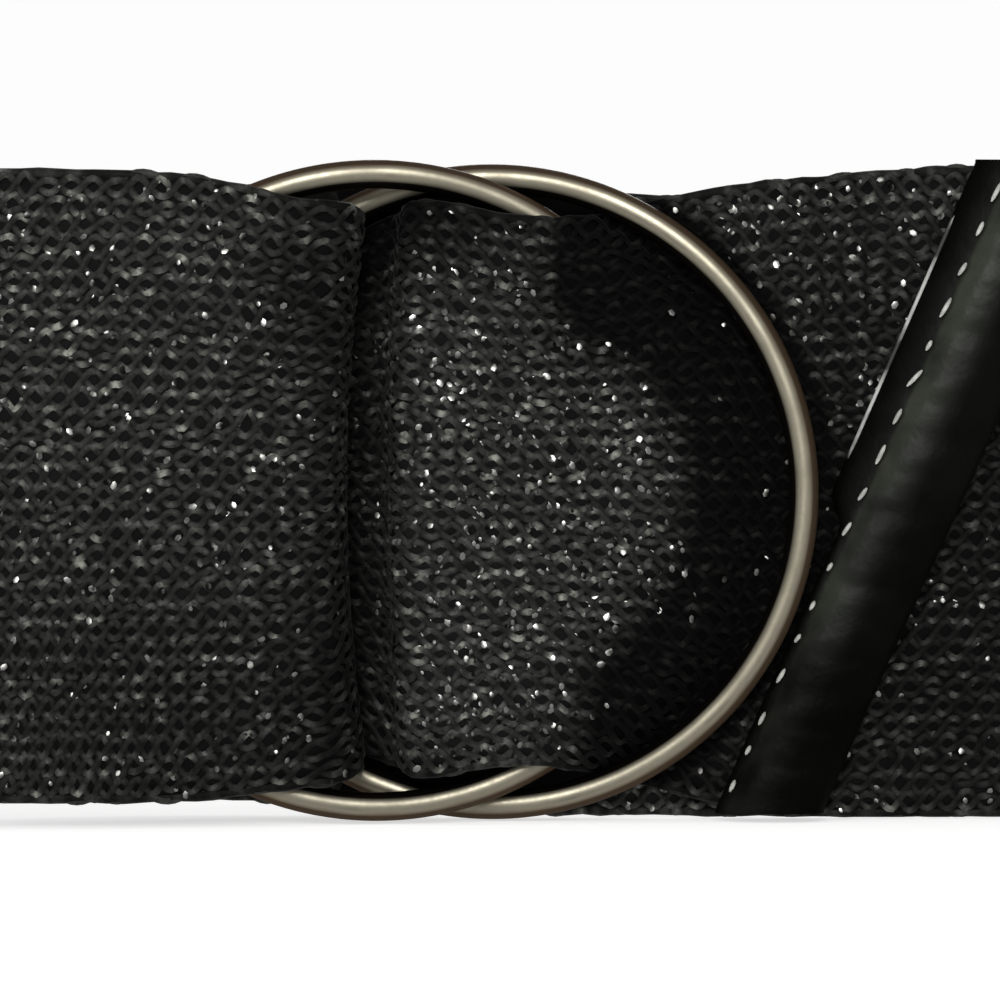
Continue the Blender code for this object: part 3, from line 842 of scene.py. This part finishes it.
films = [
    add_film("film_folded_end", folded, seen_outer, 1, 0.24, 21),
    add_film("film_tongue", tongue_root, STARTS["end"], -1, 0.55, 22),
    add_film("film_beside_tongue", seen_under, under_tongue, 1, 0.3, 23),
    add_film("film_outside", seen_outer, seen_under, 1, 0.2, 24),
    add_film("film_inside", past_sewn_end, tongue_foot, -1, 0.22, 25),
]


# The selvedges: both edges of the strap end in one firm thick yarn, knitted in double. From it the end yarn
# stands out in a small tight loop every few millimetres, where the needles turned. The strap stands on the
# lower ones, which lie flat under it.
EDGE_YARN = 0.42
EDGE_YARN_INSET = 0.1
EDGE_STEPS = 1700
LOOP_WIDTH = 2.6
LOOP_HEIGHT = 0.42
# How far inside the edge the feet of a loop are.
LOOP_INSET = 0.32
LOOP_YARN = 0.36
LOOP_STEPS = 7
LOOP_NAP = 0.13
EDGE_SIDES = 6


def round_yarn(middle, outward, radius, sides):
    """Round yarn along lines of points, as a grid of points for each."""
    across = np.cross(outward, along_lines(middle))
    girth = np.linspace(0.0, 2.0 * math.pi, sides, endpoint=False)[:, None]
    ring = across[..., None, :] * np.cos(girth) + outward[..., None, :] * np.sin(girth)
    return middle[..., None, :] + ring * radius


def edge_yarns():
    """The thick yarn along each edge, as a grid of points for each, of uneven thickness, and its nap with
    painted shade.
    """
    dice = np.random.default_rng(32)
    grids, naps = [], []
    for edge in (0.0, 1.0):
        distance = np.linspace(0.3, float(tongue_stop(np.array(edge))) - 0.5, EDGE_STEPS)[None, :]
        share = edge + (1.0 - 2.0 * edge) * EDGE_YARN_INSET / STRAP_WIDTH
        uneven = np.clip(wander(dice, 1, EDGE_STEPS, 3, 0.14), -0.3, 0.3)[..., None, None]
        grids.append(round_yarn(*on_strap(distance, share), EDGE_YARN * (1.0 + uneven), EDGE_SIDES))
        # The nap is darkened by painted shade.
        nap = (0.02 + 0.05 * wander(dice, 1, EDGE_STEPS, 2, 1.0) ** 2) * (1.0 - painted_shade(distance, share))
        naps.append(np.repeat(np.clip(nap, 0.0, 1.0)[..., None], EDGE_SIDES, axis=-1))
    return np.concatenate(grids), np.concatenate(naps)


edge_points, edge_naps = edge_yarns()
edges = add_piece("selvedge_yarns", edge_points, line_faces(edge_points), yarn, "knitted_net", nap=edge_naps)


def selvedge_loops():
    """Small arcs of yarn along both edges, as a grid of points for each loop, and their nap with painted
    shade.
    """
    dice = np.random.default_rng(31)
    grids, naps = [], []
    for edge in (0.0, 1.0):
        stop = float(tongue_stop(np.array(edge))) - 3.0
        spots = np.cumsum(dice.uniform(3.2, 6.4, 260))
        spots = spots[spots < stop][:, None]
        part = np.linspace(-1.0, 1.0, LOOP_STEPS)[None, :]
        width = LOOP_WIDTH / 2.0 * dice.uniform(0.75, 1.25, spots.shape)
        rise = (1.0 - part**2) * LOOP_HEIGHT * dice.uniform(0.6, 1.2, spots.shape)
        share = edge + (2.0 * edge - 1.0) * (rise - LOOP_INSET) / STRAP_WIDTH
        distance = spots + part * width
        grids.append(round_yarn(*on_strap(distance, share), LOOP_YARN, EDGE_SIDES))
        # The nap is darkened by painted shade.
        nap = LOOP_NAP * (1.0 - painted_shade(distance, share))
        naps.append(np.repeat(nap[..., None], EDGE_SIDES, axis=-1))
    return np.concatenate(grids), np.concatenate(naps)


loop_points, loop_naps = selvedge_loops()
selvedges = add_piece(
    "selvedge_loops", loop_points, line_faces(loop_points), yarn, "knitted_net", nap=loop_naps
)


# The sewing of the folded end: two lines of lockstitch in black thread, 58 and 61 mm from the buckle's
# middle, through both layers, so that they show inside the loop and on the belt's face.
THREAD_RADIUS = 0.16
STITCH_STEPS = 7
THREAD_SIDES = 7
SEAM_STITCH = 2.4
SEAM_PITCH = 3.0
SEAMS_FROM_SEWN_END = (2.2, 5.2)
# The sewn end lies behind this place of the outer layer, as a distance from the fold.
SEWN_END_FROM_FOLD = 52.5
SEAM_LIFT = 0.46
THREAD_SHADE = "#0c0c0d"
THREAD_BLACK = "#1a1a1b"


def thread_stitches(starts, ends, outward, radius, bow):
    """Short bowed stitches of thread between pairs of points, pinched in where they enter the cloth."""
    part = np.linspace(0.0, 1.0, STITCH_STEPS)[None, :, None]
    hump = 4.0 * part * (1.0 - part)
    middle = starts[:, None] * (1.0 - part) + ends[:, None] * part + outward[:, None] * bow * hump
    thick = radius * (0.35 + 0.65 * hump**0.4)[..., None]
    return round_yarn(middle, outward[:, None], thick, THREAD_SIDES)


# Bonded polyester sewing thread, three-ply: smooth and slightly glossy.
thread = new_material("bonded_polyester_thread_black", Roughness=0.38, IOR=1.5)
link_shader(thread, Base_Color=add_mix(thread, add_noise(thread, 3000.0, 1.0), THREAD_SHADE, THREAD_BLACK))

seam_lines = []
rise = np.arange(1.4, STRAP_WIDTH - SEAM_STITCH, SEAM_PITCH)
for seam in SEAMS_FROM_SEWN_END:
    for distance in (seam, STARTS["outer"] + SEWN_END_FROM_FOLD - seam):
        low, outward = on_strap(distance, rise / STRAP_WIDTH)
        high = on_strap(distance, (rise + SEAM_STITCH) / STRAP_WIDTH)[0]
        seam_lines.append((low + outward * SEAM_LIFT, high + outward * SEAM_LIFT, outward))
seam_points = thread_stitches(*[np.concatenate(part) for part in zip(*seam_lines)], THREAD_RADIUS, 0.12)
seam_stitches = add_piece("sewn_end_stitches", seam_points, line_faces(seam_points), thread, "knitted_net")


# The binding of the tongue's end: a strip of faux leather, polyurethane on a knitted back, folded round the
# slanted end and sewn through. Beside the stitches a flange of it stands free, its cut edge pale grey, partly
# as a painted highlight.
BINDING_OVERHANG = 0.25
# Its section, as places across from the stitches and out from the tongue's middle: inner face, then outer.
BINDING_OUTLINE = (
    (0.0, 0.8),
    (6.8, 0.8),
    (6.8, -0.8),
    (0.4, -0.8),
    (0.4, -1.45),
    (3.6, -1.5),
    (7.2, -1.45),
    (7.85, -0.9),
    (8.0, 0.0),
    (7.8, 1.0),
    (7.1, 1.8),
    (5.6, 2.3),
    (3.6, 2.5),
    (1.8, 2.25),
    (0.8, 1.7),
    (0.25, 1.25),
)
POINTS_PER_SIDE = 4
FLANGE_WIDTH = 2.3
FLANGE_LEAST = 0.35
FLANGE_THICKNESS = 0.45
FLANGE_HEIGHT = 28.0
BINDING_STATIONS = 260
WRINKLE_DEPTH = 0.07
STITCH_PITCH = 3.1
LEATHER_BLACK = "#040403"
LEATHER_LIT_AND_WORN = "#35382f"
BACKING_SHADE = "#3c3c3a"
BACKING_GREY_HIGHLIGHT = "#c2c2bd"


def flange_width(height):
    """How wide the flange is beside the stitches."""
    return FLANGE_LEAST + (FLANGE_WIDTH - FLANGE_LEAST) * ease((height - FLANGE_HEIGHT + 4.0) / 4.0)


def on_binding(across, out, height):
    """Points of the binding in space, from places across it and out from the tongue's middle."""
    along = smooth(STITCH_LINE, height)[0] + across / math.cos(BINDING_SLANT)
    return in_space(along, tongue_out(along, height) + out, height)


def binding_points():
    """The binding's level sections, rounded between the outline's points, with its puckers and wrinkles, and
    its share of painted light.
    """
    low, high = TONGUE_EDGES[-1][1] - BINDING_OVERHANG, TONGUE_EDGES[-1][2] + BINDING_OVERHANG
    height = np.linspace(low, high, BINDING_STATIONS)[:, None]
    rows = [(number, *place) for number, place in enumerate(BINDING_OUTLINE)]
    across, out = smooth(rows, np.arange(3.0, len(rows) - 1 + 0.01, 1.0 / POINTS_PER_SIDE))
    across = np.concatenate(((0.0, 6.8, 6.8), across))[None, :] + 0.0 * height
    out = np.concatenate(((0.8, 0.8, -0.8), out))[None, :] + 0.0 * height
    crown = ease((out - 1.1) / 0.6) * (across > 0.1)
    pucker = 0.5 + 0.5 * np.cos(2.0 * math.pi * (height - 1.2) / STITCH_PITCH)
    wrinkle = np.sin(height * 0.9) + 0.6 * np.sin(height * 2.1 + 1.0)
    fine = np.sin(height * 3.3 + across * 0.9) * np.sin(height * 0.43 + 2.0) ** 2
    out = out + crown * (WRINKLE_DEPTH * wrinkle + 0.03 * fine)
    out = out - crown * 0.12 * pucker * np.exp(-((across / 1.4) ** 2))
    width = flange_width(height)
    across = np.concatenate((-width, across, -width), axis=1)
    out = np.concatenate((0.8 + 0.0 * width, out, 0.8 + FLANGE_THICKNESS + 0.0 * width), axis=1)
    # Painted light: the crown's side by the stitches is drawn lit, the far side black, and less lit towards
    # the bottom.
    handled = ease((across - 0.1) / 0.5) * (1.0 - 0.92 * ease((across - 0.6) / 4.2))
    handled = handled * (0.35 + 0.65 * ease((height - 8.0) / 16.0))
    return on_binding(across, out, height), handled


# Polyurethane faux leather, cast on release paper: black, with a fine pebbled grain, satin where it is
# stretched over the fold and duller in the wrinkles. Painted light makes its side by the stitches greenish
# grey, mottled by handling, and leaves the far side and the lower end darker.
leather = new_material("polyurethane_faux_leather_pebbled", IOR=1.5)
handled = add_share(leather, "handled")
handling = add_noise(leather, 120.0, 4.0)
# Handling's mottle, on the painted light.
worn = add_product(leather, add_range(leather, handling, 0.36, 0.62), handled)
place = add_node(leather, "ShaderNodeTexCoord", {}).outputs["Object"]
# Pebbles of the grain are 0.25 mm, and are drawn at 0.4 mm.
grain = add_node(leather, "ShaderNodeTexVoronoi", {"Vector": place, "Scale": 2500.0}, feature="SMOOTH_F1")
pebbles = add_bump(leather, 0.35, 0.00005, grain.outputs["Distance"])
link_shader(
    leather,
    Base_Color=add_mix(leather, worn, LEATHER_BLACK, LEATHER_LIT_AND_WORN),
    Roughness=add_range(leather, handling, 0.35, 0.7, 0.52, 0.36),
    # The shine is painted as well: full on the lit side by the stitches, dull on the far side.
    Specular_IOR_Level=add_range(leather, handled, 0.0, 1.0, 0.06, 0.3),
    Normal=add_bump(leather, 0.5, 0.0003, add_noise(leather, 480.0, 3.0), Normal=pebbles),
)

binding_grid, binding_handled = binding_points()
binding_faces = quads(*binding_grid.shape[:2], columns_close=True)
binding = add_piece(
    "tongue_binding", binding_grid, binding_faces, leather, "faux_leather", handled=binding_handled
)
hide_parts("tip_binding")

# The flange's cut edge: a thin rounded line, pale grey partly because the knitted back shows there and partly
# as a painted highlight where light catches the edge.
EDGE_ROUND = 0.2
EDGE_LOW = FLANGE_HEIGHT + 0.6
EDGE_HIGH = TONGUE_EDGES[-1][2] - 2.5
height = np.linspace(EDGE_LOW, EDGE_HIGH, 90)[:, None]
girth = np.linspace(0.0, 2.0 * math.pi, 9, endpoint=False)[None, :]
taper = ease((height - EDGE_LOW) / 3.0) * ease((EDGE_HIGH + 0.1 - height) / 4.0)
edge_round = EDGE_ROUND * (0.25 + 0.75 * taper)
edge_points = on_binding(
    -flange_width(height) + 0.1 + edge_round * 0.8 * np.cos(girth),
    0.8 + FLANGE_THICKNESS / 2.0 + 0.1 + edge_round * np.sin(girth),
    height + 0.0 * girth,
)
backing = new_material("grey_polyester_backing_cut_edge", Roughness=0.5, IOR=1.5)
# The pale grey is partly a painted highlight.
frays = add_range(backing, add_noise(backing, 260.0, 4.0), 0.4, 0.62)
link_shader(backing, Base_Color=add_mix(backing, frays, BACKING_SHADE, BACKING_GREY_HIGHLIGHT))
edge_faces = quads(*edge_points.shape[:2], columns_close=True)
add_piece("binding_cut_edge", edge_points, edge_faces, backing, "faux_leather")

# The stitches of the binding: silver-grey thread, in slanted stitches down the strip's left edge.
# The needle's tension differs, so they vary in length and height, and below the flange they are sunk in.
BINDING_STITCH = 1.45
BINDING_THREAD_RADIUS = 0.19
SILVER_SHADE = "#6f6f68"
SILVER_PALE = "#f2f1ea"
dice = np.random.default_rng(41)
height = np.arange(2.6, 54.0, STITCH_PITCH)
height = height + dice.uniform(-0.35, 0.35, height.shape)
slope = np.gradient(smooth(STITCH_LINE, height)[0], height)
lean = np.arctan(slope) + math.radians(6.0) + dice.normal(0.0, 0.12, height.shape)
half_stitch = BINDING_STITCH / 2.0 * dice.uniform(0.55, 1.35, height.shape)
half_stitch = half_stitch * (0.75 + 0.25 * ease((height - FLANGE_HEIGHT) / 3.0))
half_up = half_stitch * np.cos(lean)
half_across = half_stitch * np.sin(lean)
stitch_middle = smooth(STITCH_LINE, height)[0] + 0.12
stitch_out = tongue_out(stitch_middle, height) + 1.2 + 0.25 * ease((height - FLANGE_HEIGHT + 2.0) / 4.0)
stitch_out = stitch_out + dice.uniform(-0.06, 0.06, height.shape)
starts = in_space(stitch_middle - half_across, stitch_out, height - half_up)
ends = in_space(stitch_middle + half_across, stitch_out + 0.15, height + half_up)
outward = in_space(stitch_middle, 1.0, height) - in_space(stitch_middle, 0.0, height)
points = thread_stitches(starts, ends, outward, BINDING_THREAD_RADIUS, 0.16)
silver = new_material("silver_grey_polyester_thread", Roughness=0.35, IOR=1.5, Sheen_Weight=0.2)
link_shader(silver, Base_Color=add_mix(silver, add_noise(silver, 1500.0, 2.0), SILVER_SHADE, SILVER_PALE))
add_piece("binding_stitches", points, line_faces(points), silver, "faux_leather")


# The studio: a pale matt table, an even pale surround, one soft lamp above and behind the camera and one
# close by on the left, two that light the belt from behind and above, and the camera 30 cm in front of the
# buckle, level with its middle.
TABLE_HALF = 4.0
TABLE_BELOW = 0.0001
WHITE = linear("#ffffff")
table_mesh = bpy.data.meshes.new("studio_table")
corners = [(x * TABLE_HALF, y * TABLE_HALF, -TABLE_BELOW) for x, y in ((-1, -1), (1, -1), (1, 1), (-1, 1))]
table_mesh.from_pydata(corners, [], [(0, 1, 2, 3)])
table = bpy.data.objects.new("studio_table", table_mesh)
bpy.context.scene.collection.objects.link(table)
table.visible_glossy = False
matt_white = new_material(
    "white_light_table",
    Base_Color=linear("#f6f6f5"),
    Emission_Color=WHITE,
    Emission_Strength=0.62,
    Roughness=0.9,
    IOR=1.5,
    Specular_IOR_Level=0.1,
)
table_mesh.materials.append(matt_white)

# The surround is white to look at, and lights the belt only softly, so that the lamps shape it.
surround = bpy.data.worlds.new("pale_surround")
surround.use_nodes = True
way = add_node(surround, "ShaderNodeLightPath", {}).outputs["Is Camera Ray"]
glow = add_node(surround, "ShaderNodeMath", {0: way, 1: 0.82, 2: 0.16}, operation="MULTIPLY_ADD")
surround.node_tree.links.new(glow.outputs[0], surround.node_tree.nodes["Background"].inputs["Strength"])
surround.node_tree.nodes["Background"].inputs["Color"].default_value = WHITE
bpy.context.scene.world = surround
LAMPS_AIM = (0.0, 0.0, 0.02)


def add_lamp(name, location, size, energy, shows_in_metal):
    """A square soft lamp, turned to the middle of the belt."""
    lamp_data = bpy.data.lights.new(name, "AREA")
    lamp_data.shape = "SQUARE"
    lamp_data.size = size
    lamp_data.energy = energy
    lamp = bpy.data.objects.new(name, lamp_data)
    lamp.location = location
    lamp.rotation_euler = (Vector(LAMPS_AIM) - lamp.location).to_track_quat("-Z", "Y").to_euler()
    lamp.visible_glossy = shows_in_metal
    bpy.context.scene.collection.objects.link(lamp)


add_lamp("soft_lamp_over_the_camera", (-0.06, -0.96, 0.47), 0.45, 2.85, True)
add_lamp("soft_lamp_on_the_left", (-0.30, -0.40, 0.25), 0.30, 0.42, False)
add_lamp("soft_lamp_behind", (0.2, 1.2, 0.5), 0.6, 5.0, True)
add_lamp("soft_lamp_above", (0.0, 0.0, 1.4), 1.0, 4.0, False)

camera_data = bpy.data.cameras.new("camera")
camera_data.lens = 130.0
camera_data.sensor_width = 36.0
camera_data.clip_start = 0.01
camera = bpy.data.objects.new("camera", camera_data)
camera.location = (0.0058, -0.3949, 0.0268)
camera.rotation_euler = (math.radians(90.0), 0.0, 0.0)
bpy.context.scene.collection.objects.link(camera)
bpy.context.scene.camera = camera
bpy.context.scene.view_settings.view_transform = "Standard"
